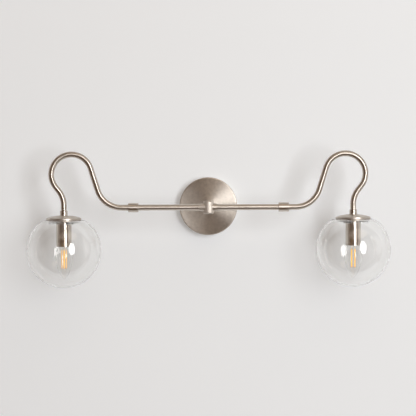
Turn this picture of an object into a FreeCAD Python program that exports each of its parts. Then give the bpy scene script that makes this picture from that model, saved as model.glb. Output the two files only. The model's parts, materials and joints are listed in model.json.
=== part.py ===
"""Double arm wall sconce: round backplate, hub, two gooseneck arms, two clear globes with candle bulbs.

Frame: millimetres, +Z up, the wall is the plane Y = 0 and the light stands out along -Y.
The origin is on the wall at the axis of the backplate.
"""
import FreeCAD
import Part
import math
import os
import Sketcher

Vector = FreeCAD.Vector
Rotation = FreeCAD.Rotation
Placement = FreeCAD.Placement

document = FreeCAD.newDocument("DoubleArmSconce")

# ---------------------------------------------------------------- driving dimensions

SIZES = {
    # backplate, a spun shell that is open at the wall
    "plate_dia": 120.0,
    "plate_depth": 22.0,
    "plate_wall": 1.2,
    "plate_edge": 3.0,
    # mounting strap behind the backplate
    "strap_width": 16.0,
    "strap_thick": 2.0,
    "strap_tab": 15.0,
    "strap_bend": 1.5,
    "strap_gap": 0.3,
    "strap_hole": 10.5,
    "slot_spacing": 88.9,
    "slot_width": 4.6,
    "slot_length": 10.0,
    "earth_x": 24.0,
    "earth_boss_dia": 8.0,
    "earth_boss_rise": 4.0,
    "earth_screw_dia": 4.0,
    "earth_head_dia": 9.6,
    "earth_flange": 0.8,
    "earth_hex": 8.0,
    "earth_hex_rise": 2.5,
    "lock_screw_dia": 4.0,
    "lock_screw_length": 8.0,
    "lock_screw_height": 11.0,
    "lock_key": 2.0,
    "lock_key_deep": 2.0,
    # stem and its fastening through the backplate
    "reach": 105.0,
    "tube_dia": 12.0,
    "tube_bore": 9.5,
    "nipple_dia": 10.0,
    "nipple_bore": 7.0,
    "nipple_length": 26.0,
    "nipple_in_stem": 14.0,
    "stem_bore": 8.0,
    "stem_into_hub": 5.0,
    "washer_dia": 20.0,
    "washer_thick": 1.2,
    "nut_flats": 14.0,
    "nut_thick": 3.5,
    "collar_dia": 18.0,
    "collar_rise": 5.0,
    "collar_edge": 1.5,
    # hub
    "hub_dia": 22.0,
    "hub_barrel": 18.0,
    "hub_height": 26.0,
    "hub_chamber": 15.0,
    "hub_cap_edge": 2.4,
    "hub_cap_spigot": 2.2,
    "boss_reach": 18.0,
    "boss_dia": 17.0,
    "boss_tip_dia": 14.0,
    "rear_boss_dia": 16.0,
    "rear_boss_reach": 13.0,
    # swivel couplings
    "coupling_start": 140.5,
    "coupling_length": 20.5,
    "coupling_dia": 19.0,
    "coupling_stop": 1.0,
    "coupling_chamfer": 0.5,
    "grub_dia": 3.0,
    "grub_from_face": 5.0,
    "grub_key": 1.5,
    "grub_key_deep": 1.2,
    "grub_recess": 0.4,
    # gooseneck arm, centreline from the coupling outwards
    "run_out": 13.5,
    "rise_radius": 50.0,
    "rise_turn": 72.5,
    "rise_run": 46.0,
    "bow_radius": 40.4,
    "bow_turn": 200.5,
    "drop_run": 10.0,
    "drop_radius": 47.0,
    # ferrule between arm and cap
    "ferrule_dia": 15.5,
    "ferrule_top": -5.4,
    "ferrule_length": 10.0,
    "ferrule_socket": 7.0,
    "ferrule_chamfer": 0.6,
    # cap
    "cap_dia": 70.0,
    "cap_height": 8.6,
    "cap_rim": 3.2,
    "cap_wall": 1.2,
    "cap_flat_dia": 17.0,
    "gasket_dia": 67.0,
    "gasket_hole": 61.0,
    # spring that holds the globe
    "spacer_dia": 16.0,
    "spacer_length": 4.3,
    "spring_thick": 0.6,
    "spring_ring_dia": 24.0,
    "spring_ring_lap": 2.0,
    "spring_leg_width": 6.0,
    "spring_leg_radius": 21.0,
    "spring_drop": 12.0,
    "spring_tip_rise": 7.5,
    "spring_bend": 1.6,
    # globe
    "globe_dia": 150.0,
    "globe_wall": 2.5,
    "globe_mouth": 60.0,
    "globe_lip_width": 12.8,
    "globe_shoulder": 25.0,
    "globe_mouth_edge": 0.6,
    # socket cup and lamp holder
    "cup_dia": 30.5,
    "cup_wall": 1.2,
    "cup_length": 55.9,
    "cup_edge": 2.0,
    "socket_length": 40.0,
    "socket_bore": 15.3,
    "socket_shell_depth": 20.0,
    "socket_chamber_dia": 12.0,
    "socket_chamber_deep": 10.0,
    "socket_rivet_dia": 4.0,
    "socket_web": 4.0,
    "shell_wall": 0.4,
    "shell_length": 17.0,
    "contact_head_dia": 10.0,
    "contact_head_thick": 0.6,
    "contact_pin_dia": 5.0,
    "lamp_nipple_length": 18.0,
    # bulb
    "bulb_length": 97.0,
    "bulb_dia": 35.0,
    "bulb_glass": 0.8,
    "bulb_neck_dia": 13.0,
    "bulb_taper": 30.0,
    "bulb_shoulder_radius": 30.0,
    "bulb_side_radius": 74.0,
    "bulb_tip_radius": 3.0,
    "bulb_neck_in_base": 8.0,
    "base_dia": 13.9,
    "base_wall": 0.35,
    "base_length": 16.2,
    "base_slope": 1.1,
    "insulator_dia": 12.0,
    "insulator_tip_dia": 6.0,
    "insulator_height": 2.6,
    "bulb_contact_dia": 5.0,
    "bulb_contact_edge": 0.6,
    "bulb_contact_rise": 1.2,
    "stem_foot_height": 1.5,
    "stem_glass_dia": 5.0,
    "stem_glass_length": 24.8,
    "filament_dia": 1.3,
    "filament_length": 36.0,
    "filament_circle": 9.2,
    "filament_count": 4.0,
    "wire_dia": 0.5,
    "left_bulb_turn": 12.0,
    "right_bulb_turn": 32.0,
    # clearances
    "thread_fit": 0.05,
    "running_fit": 0.10,
    "seat_gap": 0.30,
    "screw_fit": 0.15,
    "lamp_fit": 0.25,
}

sheet = document.addObject("Spreadsheet::Sheet", "Sizes")
for row, (alias, number) in enumerate(SIZES.items(), start=1):
    sheet.set(f"A{row}", alias)
    sheet.set(f"B{row}", str(number))
    sheet.setAlias(f"B{row}", alias)
document.recompute()


class Size:
    """A length or angle as a number, with the spreadsheet formula that gives it."""

    def __init__(self, value, text=None):
        self.value = float(value)
        self.text = text if text is not None else repr(float(value))

    def __add__(self, other):
        other = size(other)
        return Size(self.value + other.value, f"({self.text} + {other.text})")

    def __sub__(self, other):
        other = size(other)
        return Size(self.value - other.value, f"({self.text} - {other.text})")

    def __mul__(self, other):
        other = size(other)
        return Size(self.value * other.value, f"({self.text} * {other.text})")

    def __truediv__(self, other):
        other = size(other)
        return Size(self.value / other.value, f"({self.text} / {other.text})")

    def __neg__(self):
        return Size(-self.value, f"(-1 * {self.text})")

    def __radd__(self, other):
        return size(other) + self

    def __rsub__(self, other):
        return size(other) - self

    def __rmul__(self, other):
        return size(other) * self


def size(value):
    """Any number as a Size."""
    return value if isinstance(value, Size) else Size(value)


def root(value):
    return Size(math.sqrt(value.value), f"sqrt({value.text})")


def sine(angle):
    return Size(math.sin(math.radians(angle.value)), f"sin({angle.text})")


def cosine(angle):
    return Size(math.cos(math.radians(angle.value)), f"cos({angle.text})")


def square(value):
    return value * value


class Sheet:
    """The spreadsheet's cells as Size values."""

    def __getattr__(self, alias):
        return Size(SIZES[alias], f"Sizes.{alias}")


D = Sheet()
pieces = []

# ---------------------------------------------------------------- derived places

# all heights along Z are measured from the axis of hub and tubes
swivel_stop = D.coupling_start + D.coupling_length / 2
swivel_face = D.coupling_start + D.coupling_length
tangent_lean = D.bow_turn - D.rise_turn
rise_start_x = swivel_face + D.run_out
rise_end_x = rise_start_x + D.rise_radius * sine(D.rise_turn)
rise_end_z = D.rise_radius - D.rise_radius * cosine(D.rise_turn)
bow_start_x = rise_end_x + D.rise_run * cosine(D.rise_turn)
bow_start_z = rise_end_z + D.rise_run * sine(D.rise_turn)
bow_centre_x = bow_start_x + D.bow_radius * sine(D.rise_turn)
bow_centre_z = bow_start_z - D.bow_radius * cosine(D.rise_turn)
bow_end_x = bow_centre_x + D.bow_radius * sine(tangent_lean)
bow_end_z = bow_centre_z + D.bow_radius * cosine(tangent_lean)
drop_start_x = bow_end_x + D.drop_run * cosine(tangent_lean)
drop_start_z = bow_end_z - D.drop_run * sine(tangent_lean)
drop_centre_x = drop_start_x + D.drop_radius * sine(tangent_lean)
drop_centre_z = drop_start_z + D.drop_radius * cosine(tangent_lean)
lamp_x = drop_centre_x - D.drop_radius
arm_end_z = D.ferrule_top - D.ferrule_socket

cap_top = D.ferrule_top - D.ferrule_length
cap_bottom = cap_top - D.cap_height
cap_inside = cap_top - D.cap_wall
spring_top = cap_inside - D.spacer_length
cup_top = spring_top - D.spring_thick
cup_bottom = cup_top - D.cup_length
cup_inside = cup_top - D.cup_wall
socket_top = cup_inside - D.nut_thick - D.thread_fit
socket_bottom = socket_top - D.socket_length
shell_top = socket_bottom + D.socket_shell_depth
chamber_top = shell_top + D.socket_chamber_deep
rivet_top = chamber_top + D.socket_web
globe_top = cap_bottom - D.seat_gap
globe_shoulder_rise = root(square(D.globe_dia / 2) - square(D.globe_mouth / 2 + D.globe_lip_width))
globe_centre = globe_top - globe_shoulder_rise
bulb_top = shell_top - D.lamp_fit
bulb_bottom = bulb_top - D.bulb_length

# ---------------------------------------------------------------- drawing helpers


def origin_plane(body, role):
    """The body's own origin plane of that role."""
    for feature in body.Origin.OriginFeatures:
        if feature.Role == role:
            return feature
    raise ValueError(role)


def new_body(label):
    body = document.addObject("PartDesign::Body", label)
    body.Label = label
    return body


def new_sketch(body, role, name, offset=None):
    """A sketch on one of the body's origin planes, lifted off it by an optional offset."""
    sketch = body.newObject("Sketcher::SketchObject", name)
    sketch.AttachmentSupport = [(origin_plane(body, role), "")]
    sketch.MapMode = "FlatFace"
    if offset is not None:
        sketch.AttachmentOffset = Placement(Vector(0, 0, offset.value), Rotation())
        sketch.setExpression("AttachmentOffset.Base.z", offset.text)
    return sketch


def bind(sketch, kind, *spec):
    """Add a dimension whose value comes from the spreadsheet."""
    value = spec[-1]
    index = sketch.addConstraint(Sketcher.Constraint(kind, *spec[:-1], value.value))
    sketch.setExpression(f"Constraints[{index}]", value.text)


def pin_point(sketch, geometry, point, across, up):
    """Give a sketch point both of its coordinates."""
    bind(sketch, "DistanceX", geometry, point, size(across))
    bind(sketch, "DistanceY", geometry, point, size(up))


def arc_centre(start, end, radius):
    """Centre of the short arc from start to end; it turns left for a positive radius."""
    chord = Vector(end[0] - start[0], end[1] - start[1], 0)
    half = chord.Length / 2
    depth = math.sqrt(max(radius * radius - half * half, 0.0))
    left = Vector(-chord.y, chord.x, 0)
    left.normalize()
    turn = 1 if radius > 0 else -1
    return Vector(start[0], start[1], 0) + chord / 2 + left * (turn * depth)


def rounded(corners, radii):
    """Replace square corners by two tangent points and the arc between them.

    corners are (across, up) pairs, radii maps a corner's number to its radius.
    Returns the new corners, and the arcs as {number of the side: signed radius}.
    """
    points = []
    arcs = {}
    count = len(corners)
    for index, corner in enumerate(corners):
        if index not in radii:
            points.append(corner)
            continue
        radius = radii[index]
        before = corners[index - 1]
        after = corners[(index + 1) % count]
        ends = []
        for other in (before, after):
            step = [size(other[axis]).value - size(corner[axis]).value for axis in (0, 1)]
            length = math.hypot(*step)
            ends.append([part / length for part in step])
        turn = ends[1][0] * -ends[0][1] - ends[1][1] * -ends[0][0]
        sign = -1 if turn > 0 else 1
        arcs[len(points)] = radius * sign
        for way in ends:
            points.append(tuple(corner[axis] + radius * round(way[axis]) for axis in (0, 1)))
    return points, arcs


def draw_outline(sketch, corners, arcs=None):
    """Closed outline through corners; arcs maps a side's number to its signed radius."""
    arcs = arcs or {}
    count = len(corners)
    spots = [(size(across).value, size(up).value) for across, up in corners]
    starts = []
    ends = []
    for side in range(count):
        begin = spots[side]
        finish = spots[(side + 1) % count]
        if side in arcs:
            radius = size(arcs[side])
            centre = arc_centre(begin, finish, radius.value)
            left = radius.value > 0
            first, last = (begin, finish) if left else (finish, begin)
            angles = [math.atan2(spot[1] - centre.y, spot[0] - centre.x) for spot in (first, last)]
            if angles[1] < angles[0]:
                angles[1] += 2 * math.pi
            circle = Part.Circle(centre, Vector(0, 0, 1), abs(radius.value))
            number = sketch.addGeometry(Part.ArcOfCircle(circle, angles[0], angles[1]), False)
            starts.append((number, 1 if left else 2))
            ends.append((number, 2 if left else 1))
            bind(sketch, "Radius", number, radius if left else -radius)
        else:
            line = Part.LineSegment(Vector(*begin, 0), Vector(*finish, 0))
            number = sketch.addGeometry(line, False)
            starts.append((number, 1))
            ends.append((number, 2))
    for side in range(count):
        sketch.addConstraint(Sketcher.Constraint("Coincident", *ends[side - 1], *starts[side]))
        pin_point(sketch, *starts[side], *corners[side])


def draw_circle(sketch, across, up, radius):
    """A circle with bound centre and radius."""
    centre = Vector(size(across).value, size(up).value, 0)
    number = sketch.addGeometry(Part.Circle(centre, Vector(0, 0, 1), radius.value), False)
    pin_point(sketch, number, 3, across, up)
    bind(sketch, "Radius", number, radius)


def draw_slot(sketch, across, up, length, width):
    """A round-ended slot that runs across, by its centre, overall length and width."""
    half = (length - width) / 2
    radius = width / 2
    numbers = []
    for way, start_angle in ((1, -math.pi / 2), (-1, math.pi / 2)):
        centre = Vector(across.value + way * half.value, up.value, 0)
        circle = Part.Circle(centre, Vector(0, 0, 1), radius.value)
        arc = Part.ArcOfCircle(circle, start_angle, start_angle + math.pi)
        numbers.append(sketch.addGeometry(arc, False))
    for way in (1, -1):
        level = up.value + way * radius.value
        right = Vector(across.value + half.value, level, 0)
        left = Vector(across.value - half.value, level, 0)
        ends = (right, left) if way > 0 else (left, right)
        numbers.append(sketch.addGeometry(Part.LineSegment(*ends), False))
    right_arc, left_arc, top, bottom = numbers
    for first, second in ((right_arc, top), (top, left_arc), (left_arc, bottom), (bottom, right_arc)):
        sketch.addConstraint(Sketcher.Constraint("Tangent", first, 2, second, 1))
    sketch.addConstraint(Sketcher.Constraint("Horizontal", top))
    pin_point(sketch, right_arc, 3, across + half, up)
    pin_point(sketch, left_arc, 3, across - half, up)
    bind(sketch, "Radius", right_arc, radius)


def revolve(body, corners, arcs=None, name="Turned", axis="V_Axis", cut=False):
    """Turn a closed outline in the XZ plane about the sketch's upright or level axis."""
    sketch = new_sketch(body, "XZ_Plane", f"{name}Outline")
    draw_outline(sketch, corners, arcs)
    kind = "PartDesign::Groove" if cut else "PartDesign::Revolution"
    feature = body.newObject(kind, name)
    feature.Profile = sketch
    feature.ReferenceAxis = (sketch, [axis])
    feature.Angle = 360.0
    sketch.Visibility = False
    return feature


def pad(body, sketch, length, name, both_ways=False, backwards=False):
    """Thicken a sketch along its normal, to one side or half to each side."""
    feature = body.newObject("PartDesign::Pad", name)
    feature.Profile = sketch
    feature.setExpression("Length", length.text)
    if both_ways:
        feature.SideType = "Symmetric"
    feature.Reversed = backwards
    return feature


def pocket_through(body, sketch, name):
    """Cut a sketch through the whole body, both ways."""
    feature = body.newObject("PartDesign::Pocket", name)
    feature.Profile = sketch
    feature.SideType = "Symmetric"
    feature.Type = "ThroughAll"
    return feature


def pocket_to(body, sketch, depth, name, backwards=False):
    """Cut a sketch to a depth."""
    feature = body.newObject("PartDesign::Pocket", name)
    feature.Profile = sketch
    feature.setExpression("Length", depth.text)
    feature.Reversed = backwards
    return feature


def place(piece, across=0, depth=0, up=0, turn=None):
    """Put a piece in the light's frame, with its position bound to the spreadsheet."""
    spot = [size(across), size(depth), size(up)]
    piece.Placement = Placement(Vector(*[part.value for part in spot]), turn or Rotation())
    for axis, part in zip("xyz", spot):
        if part.value != 0:
            piece.setExpression(f"Placement.Base.{axis}", part.text)


def finish(piece, label):
    """Name a piece and list it for writing."""
    piece.Label = label
    pieces.append(piece)
    return piece


def turned(label, corners, arcs=None):
    """A body made by one revolved outline about its upright axis."""
    body = new_body(label)
    revolve(body, corners, arcs)
    return finish(body, label)


def cylinder(name, radius, length, up=0, across=0, depth=0, turn=None):
    """A primitive cylinder with bound sizes."""
    solid = document.addObject("Part::Cylinder", name)
    solid.setExpression("Radius", radius.text)
    solid.setExpression("Height", length.text)
    place(solid, across, depth, up, turn)
    return solid


def prism(name, flats, length, up=0, across=0, depth=0, turn=None):
    """A hexagonal primitive prism by its width over flats."""
    solid = document.addObject("Part::Prism", name)
    solid.Polygon = 6
    solid.setExpression("Circumradius", (flats / math.sqrt(3)).text)
    solid.setExpression("Height", length.text)
    place(solid, across, depth, up, turn)
    return solid


def cut(name, base, tool):
    result = document.addObject("Part::Cut", name)
    result.Base = base
    result.Tool = tool
    return result


def fuse(name, shapes):
    result = document.addObject("Part::MultiFuse", name)
    result.Shapes = shapes
    return result


def gather(label, solids):
    """One named piece that holds several like solids."""
    result = document.addObject("Part::Compound", label)
    result.Links = solids
    return finish(result, label)


UPRIGHT = Rotation()
OUTWARD = Rotation(Vector(1, 0, 0), 90)
TO_WALL = Rotation(Vector(1, 0, 0), -90)
TO_RIGHT = Rotation(Vector(0, 1, 0), 90)
HALF_TURN = Rotation(Vector(0, 0, 1), 180)

# ---------------------------------------------------------------- backplate and strap


def make_canopy():
    """Spun round backplate: flat face, rounded edge, hollow and open at the wall."""
    radius = D.plate_dia / 2
    bore = D.nipple_dia / 2 + D.screw_fit
    inside = D.plate_depth - D.plate_wall
    corners = [
        (bore, D.plate_depth),
        (radius, D.plate_depth),
        (radius, size(0)),
        (radius - D.plate_wall, size(0)),
        (radius - D.plate_wall, inside),
        (bore, inside),
    ]
    points, arcs = rounded(corners, {1: D.plate_edge, 4: D.plate_edge - D.plate_wall})
    body = new_body("canopy")
    revolve(body, points, arcs)
    sketch = new_sketch(body, "YZ_Plane", "LockHoles")
    draw_circle(sketch, 0, D.lock_screw_height, D.lock_screw_dia / 2 + D.screw_fit)
    pocket_through(body, sketch, "LockHolesCut")
    place(body, turn=OUTWARD)
    finish(body, "canopy")


tab_outside = root(
    square(D.plate_dia / 2 - D.plate_wall - D.strap_gap) - square(D.strap_width / 2)
)


def make_strap():
    """Bent steel strap: slotted web on the wall, end tabs for the lock screws, earth boss."""
    thick = D.strap_thick
    corners = [
        (-tab_outside, size(0)),
        (-tab_outside, -D.strap_tab),
        (-tab_outside + thick, -D.strap_tab),
        (-tab_outside + thick, -thick),
        (tab_outside - thick, -thick),
        (tab_outside - thick, -D.strap_tab),
        (tab_outside, -D.strap_tab),
        (tab_outside, size(0)),
    ]
    outer_bend = D.strap_bend + thick
    radii = {0: outer_bend, 3: D.strap_bend, 4: D.strap_bend, 7: outer_bend}
    points, arcs = rounded(corners, radii)
    body = new_body("mounting_strap")
    sketch = new_sketch(body, "XY_Plane", "Bend")
    draw_outline(sketch, points, arcs)
    pad(body, sketch, D.strap_width, "Web", both_ways=True)

    boss = new_sketch(body, "XZ_Plane", "EarthBossCircle")
    draw_circle(boss, D.earth_x, 0, D.earth_boss_dia / 2)
    pad(body, boss, thick + D.earth_boss_rise, "EarthBoss")

    holes = new_sketch(body, "XZ_Plane", "FaceHoles")
    for way in (1, -1):
        draw_slot(holes, D.slot_spacing / 2 * way, size(0), D.slot_length, D.slot_width)
    draw_circle(holes, 0, 0, D.strap_hole / 2)
    draw_circle(holes, D.earth_x, 0, D.earth_screw_dia / 2 + D.thread_fit)
    pocket_through(body, holes, "FaceHolesCut")

    locks = new_sketch(body, "YZ_Plane", "TabHoles")
    draw_circle(locks, -D.lock_screw_height, 0, D.lock_screw_dia / 2 + D.thread_fit)
    pocket_through(body, locks, "TabHolesCut")
    finish(body, "mounting_strap")


def make_earth_screw():
    """Hex washer head screw in the earth boss."""
    face = D.strap_thick + D.earth_boss_rise
    shank_length = face - D.seat_gap
    head = cylinder("EarthFlange", D.earth_head_dia / 2, D.earth_flange, turn=OUTWARD)
    hexagon = prism("EarthHex", D.earth_hex, D.earth_hex_rise + D.earth_flange, turn=OUTWARD)
    shank = cylinder("EarthShank", D.earth_screw_dia / 2, shank_length, turn=TO_WALL)
    for solid in (head, hexagon, shank):
        place(solid, D.earth_x, -face, 0, solid.Placement.Rotation)
    finish(fuse("ground_screw", [head, hexagon, shank]), "ground_screw")


def socket_set_screw(name, diameter, length, key, key_depth):
    """Headless screw along its own +Z, with a hexagon socket at the far end."""
    shank = cylinder(f"{name}Shank", diameter / 2, length)
    recess = prism(f"{name}Key", key, key_depth * 2, up=length - key_depth)
    return cut(name, shank, recess)


def make_lock_screws():
    """Headless screws in the strap's tabs, backed out into the holes of the backplate's wall."""
    outer = D.plate_dia / 2 - D.screw_fit
    screws = []
    for way, name in ((1, "LockRight"), (-1, "LockLeft")):
        turn = Rotation(Vector(0, 1, 0), 90 * way)
        screw = socket_set_screw(
            name, D.lock_screw_dia, D.lock_screw_length, D.lock_key, D.lock_key_deep
        )
        place(screw, (outer - D.lock_screw_length) * way, -D.lock_screw_height, 0, turn)
        screws.append(screw)
    gather("canopy_screws", screws)


def tube_corners(inner, outer, low, high):
    """Outline of a plain ring or tube."""
    return [(inner, low), (outer, low), (outer, high), (inner, high)]


def make_nut(label, start, turn):
    """Hexagon nut on a lamp nipple; start is its lower face along its own axis."""
    block = prism(f"{label}_block", D.nut_flats, D.nut_thick, up=start)
    bore = D.nipple_dia / 2 + D.thread_fit
    hole = cylinder(f"{label}_bore", bore, D.nut_thick * 2, up=start - D.nut_thick / 2)
    nut = cut(label, block, hole)
    place(nut, turn=turn)
    return finish(nut, label)


def make_stem():
    """Everything on the axis between the backplate and the hub, drawn along the outward axis."""
    face = D.plate_depth
    inside = face - D.plate_wall
    nipple_start = face + D.nipple_in_stem - D.nipple_length
    nipple = turned(
        "stem_nipple",
        tube_corners(D.nipple_bore / 2, D.nipple_dia / 2, nipple_start, face + D.nipple_in_stem),
    )
    washer = turned(
        "stem_washer",
        tube_corners(
            D.nipple_dia / 2 + D.screw_fit, D.washer_dia / 2, inside - D.washer_thick, inside
        ),
    )
    collar_corners, collar_arcs = rounded(
        tube_corners(D.tube_dia / 2 + D.thread_fit, D.collar_dia / 2, face, face + D.collar_rise),
        {2: D.collar_edge},
    )
    collar = turned("stem_collar", collar_corners, collar_arcs)
    thread = D.nipple_dia / 2 + D.thread_fit
    thread_end = face + D.nipple_in_stem + D.seat_gap
    stem_end = D.reach - D.stem_into_hub
    stem = turned(
        "stem",
        [
            (thread, face),
            (D.tube_dia / 2, face),
            (D.tube_dia / 2, stem_end),
            (D.stem_bore / 2, stem_end),
            (D.stem_bore / 2, thread_end),
            (thread, thread_end),
        ],
    )
    for piece in (nipple, washer, collar, stem):
        place(piece, turn=OUTWARD)
    make_nut("stem_nut", inside - D.washer_thick - D.nut_thick, OUTWARD)


# ---------------------------------------------------------------- hub


def make_hub():
    """Upright barrel with two side bosses and a rear boss, bored for tubes, stem and wires."""
    half = D.hub_barrel / 2
    bore = D.tube_dia / 2 + D.thread_fit
    chamber = D.hub_chamber / 2
    body = new_body("hub_body")
    revolve(body, [(0, -half), (D.hub_dia / 2, -half), (D.hub_dia / 2, half), (0, half)], name="Barrel")
    revolve(
        body,
        [
            (-D.boss_reach, 0),
            (-D.boss_reach, D.boss_tip_dia / 2),
            (-chamber, D.boss_dia / 2),
            (chamber, D.boss_dia / 2),
            (D.boss_reach, D.boss_tip_dia / 2),
            (D.boss_reach, 0),
        ],
        name="SideBosses",
        axis="H_Axis",
    )
    rear = new_sketch(body, "XZ_Plane", "RearBossCircle")
    draw_circle(rear, 0, 0, D.rear_boss_dia / 2)
    pad(body, rear, D.rear_boss_reach, "RearBoss", backwards=True)
    revolve(
        body,
        [(0, -D.hub_barrel), (chamber, -D.hub_barrel), (chamber, D.hub_barrel), (0, D.hub_barrel)],
        name="Chamber",
        cut=True,
    )
    side_bore = new_sketch(body, "YZ_Plane", "SideBoreCircle")
    draw_circle(side_bore, 0, 0, bore)
    pocket_through(body, side_bore, "SideBore")
    rear_bore = new_sketch(body, "XZ_Plane", "RearBoreCircle")
    draw_circle(rear_bore, 0, 0, bore)
    pocket_to(body, rear_bore, D.rear_boss_reach * 2, "RearBore", backwards=False)
    place(body, depth=-D.reach)
    finish(body, "hub_body")


def make_hub_cap(label, way):
    """Rounded end of the barrel, with a short spigot in the chamber."""
    half = D.hub_barrel / 2
    top = D.hub_height / 2
    spigot = D.hub_chamber / 2 - D.thread_fit
    corners = [
        (size(0), half - D.hub_cap_spigot),
        (spigot, half - D.hub_cap_spigot),
        (spigot, half),
        (D.hub_dia / 2, half),
        (D.hub_dia / 2, top),
        (size(0), top),
    ]
    points, arcs = rounded(corners, {4: D.hub_cap_edge})
    cap = turned(label, points, arcs)
    place(cap, depth=-D.reach, turn=UPRIGHT if way > 0 else Rotation(Vector(1, 0, 0), 180))


# ---------------------------------------------------------------- tubes and couplings


def make_side_tube(side, turn):
    """Straight tube from the hub to the stop in the coupling."""
    start = D.hub_chamber / 2 + D.seat_gap
    end = swivel_stop - D.coupling_stop / 2
    tube = turned(
        f"{side}_tube", tube_corners(D.tube_bore / 2, D.tube_dia / 2, start, end)
    )
    place(tube, depth=-D.reach, turn=turn.multiply(TO_RIGHT))


def make_coupling(side, turn):
    """Sleeve over both tube ends: a fixed seat on the inside, the arm's swivel on the outside."""
    outer = D.coupling_dia / 2
    fixed_bore = D.tube_dia / 2 + D.thread_fit
    swivel_bore = D.tube_dia / 2 + D.running_fit
    stop_bore = D.tube_bore / 2
    stop_low = swivel_stop - D.coupling_stop / 2
    stop_high = swivel_stop + D.coupling_stop / 2
    chamfer = D.coupling_chamfer
    body = new_body(f"{side}_coupling")
    revolve(
        body,
        [
            (fixed_bore, D.coupling_start),
            (outer - chamfer, D.coupling_start),
            (outer, D.coupling_start + chamfer),
            (outer, swivel_face - chamfer),
            (outer - chamfer, swivel_face),
            (swivel_bore, swivel_face),
            (swivel_bore, stop_high),
            (stop_bore, stop_high),
            (stop_bore, stop_low),
            (fixed_bore, stop_low),
        ],
    )
    # the lock screw's hole, on the side towards the wall
    hole = new_sketch(body, "XZ_Plane", "GrubCircle")
    draw_circle(hole, 0, swivel_face - D.grub_from_face, D.grub_dia / 2 + D.thread_fit)
    towards_wall = turn.multVec(Vector(0, 1, 0)).y > 0
    pocket_to(body, hole, D.coupling_dia, "GrubHole", backwards=towards_wall is False)
    place(body, depth=-D.reach, turn=turn.multiply(TO_RIGHT))
    finish(body, f"{side}_coupling")


def make_coupling_screws():
    """Headless lock screws at the back of both couplings."""
    tip = D.tube_dia / 2 + D.seat_gap
    length = D.coupling_dia / 2 - D.grub_recess - tip
    screws = []
    for way, name in ((1, "GrubRight"), (-1, "GrubLeft")):
        screw = socket_set_screw(name, D.grub_dia, length, D.grub_key, D.grub_key_deep)
        place(screw, (swivel_face - D.grub_from_face) * way, tip - D.reach, 0, TO_WALL)
        screws.append(screw)
    gather("coupling_screws", screws)


# ---------------------------------------------------------------- gooseneck arm


def draw_arm_path(sketch):
    """Open centreline: three arcs between straight runs, every joint tangent."""
    start = swivel_stop + D.coupling_stop / 2 + D.seat_gap
    spots = [
        (start, size(0)),
        (rise_start_x, size(0)),
        (rise_end_x, rise_end_z),
        (bow_start_x, bow_start_z),
        (bow_end_x, bow_end_z),
        (drop_start_x, drop_start_z),
        (lamp_x, drop_centre_z),
        (lamp_x, arm_end_z),
    ]
    arcs = {
        1: (rise_start_x, D.rise_radius, D.rise_radius, 1),
        3: (bow_centre_x, bow_centre_z, D.bow_radius, -1),
        5: (drop_centre_x, drop_centre_z, D.drop_radius, 1),
    }
    joints = []
    for side in range(len(spots) - 1):
        begin = Vector(spots[side][0].value, spots[side][1].value, 0)
        finish_at = Vector(spots[side + 1][0].value, spots[side + 1][1].value, 0)
        if side in arcs:
            centre_x, centre_z, radius, way = arcs[side]
            centre = Vector(centre_x.value, centre_z.value, 0)
            first, last = (begin, finish_at) if way > 0 else (finish_at, begin)
            angles = [math.atan2(spot.y - centre.y, spot.x - centre.x) for spot in (first, last)]
            if angles[1] < angles[0]:
                angles[1] += 2 * math.pi
            circle = Part.Circle(centre, Vector(0, 0, 1), radius.value)
            number = sketch.addGeometry(Part.ArcOfCircle(circle, *angles), False)
            joints.append((number, 1, 2) if way > 0 else (number, 2, 1))
            bind(sketch, "Radius", number, radius)
        else:
            number = sketch.addGeometry(Part.LineSegment(begin, finish_at), False)
            joints.append((number, 1, 2))
    for before, after in zip(joints, joints[1:]):
        sketch.addConstraint(
            Sketcher.Constraint("Tangent", before[0], before[2], after[0], after[1])
        )
    first_run, rise, climb, bow, slope, drop, last_run = [joint[0] for joint in joints]
    pin_point(sketch, first_run, 1, start, 0)
    sketch.addConstraint(Sketcher.Constraint("Horizontal", first_run))
    sketch.addConstraint(Sketcher.Constraint("Vertical", last_run))
    bind(sketch, "Distance", first_run, rise_start_x - start)
    bind(sketch, "Distance", climb, D.rise_run)
    bind(sketch, "Distance", slope, D.drop_run)
    bind(sketch, "DistanceY", rise, joints[1][2], rise_end_z)
    bind(sketch, "DistanceY", bow, joints[3][2], bow_end_z)
    bind(sketch, "DistanceY", last_run, 2, arm_end_z)


def make_arm(side, turn):
    """Bent tube that rises, bows over and comes down on the lamp's axis."""
    body = new_body(f"{side}_arm")
    path = new_sketch(body, "XZ_Plane", "Centreline")
    draw_arm_path(path)
    start = swivel_stop + D.coupling_stop / 2 + D.seat_gap
    section = new_sketch(body, "YZ_Plane", "Section", offset=start)
    draw_circle(section, 0, 0, D.tube_dia / 2)
    draw_circle(section, 0, 0, D.tube_bore / 2)
    pipe = body.newObject("PartDesign::AdditivePipe", "Bend")
    pipe.Profile = section
    pipe.Spine = path
    place(body, depth=-D.reach, turn=turn)
    finish(body, f"{side}_arm")


# ---------------------------------------------------------------- lamp holder


def make_ferrule(name):
    """Short collar that joins the arm's end to the threaded nipple under it."""
    outer = D.ferrule_dia / 2
    top = D.ferrule_top
    chamfer = D.ferrule_chamfer
    thread = D.nipple_dia / 2 + D.thread_fit
    seat = D.tube_dia / 2 + D.thread_fit
    return turned(
        name,
        [
            (seat, top),
            (outer - chamfer, top),
            (outer, top - chamfer),
            (outer, cap_top),
            (thread, cap_top),
            (thread, arm_end_z),
            (seat, arm_end_z),
        ],
    )


cap_drop = D.cap_height - D.cap_rim
cap_run = (D.cap_dia - D.cap_flat_dia) / 2
cap_dome = (square(cap_run) + square(cap_drop)) / (cap_drop * 2)
cap_dome_z = cap_top - cap_dome


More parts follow.
